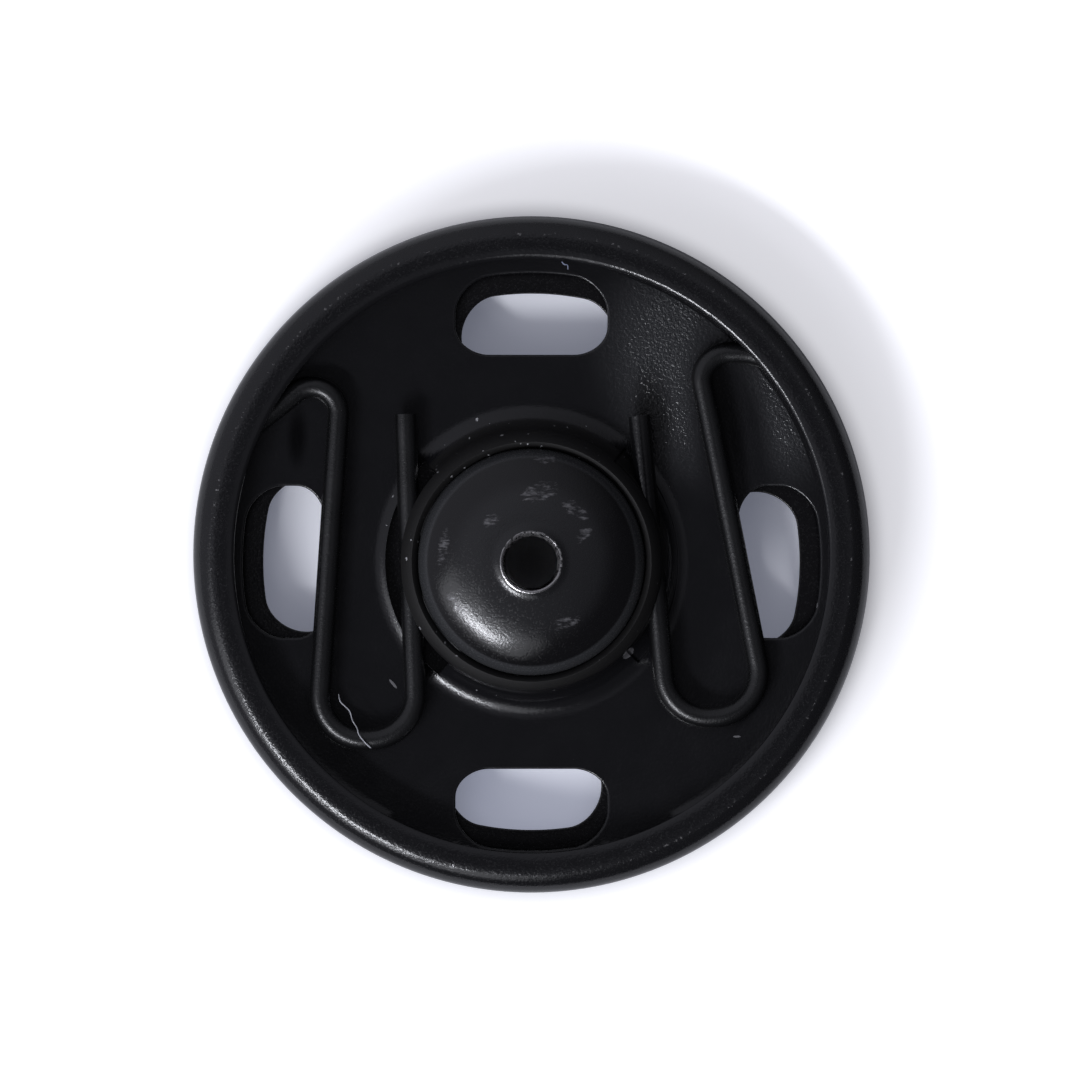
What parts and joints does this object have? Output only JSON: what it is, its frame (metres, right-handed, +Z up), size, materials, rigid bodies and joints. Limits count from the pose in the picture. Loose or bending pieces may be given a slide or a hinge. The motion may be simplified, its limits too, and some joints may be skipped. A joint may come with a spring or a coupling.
{
  "type": "snap fastener",
  "caption": "Sew-on snap fastener, closed: a pressed disc with a curled rim, thread slots and a bent wire spring, clipped over a stud disc with a hollow ball.",
  "frame": {"origin": "under the middle of the socket's rim, on the surface that the closed pair lies on", "axes": "+Z up through the ball, from the stud half's back to the socket half's back; +Y towards the free ends of the spring; +X to the right seen from above"},
  "size_m": [0.03, 0.03, 0.0058],
  "materials": {
    "disc_paint": "satin",
    "wire_paint": "satin"
  },
  "bodies": {
    "stud_half": {"stud_disc": "disc_paint"},
    "socket_half": {"socket_disc": "disc_paint", "spring": "wire_paint"}
  },
  "joints": [
    {"name": "pull_off", "type": "slide", "parent": "stud_half", "child": "socket_half", "axis": [0, 0, 1], "range_m": [0, 0.0045], "deforming": ["spring"]}
  ]
}
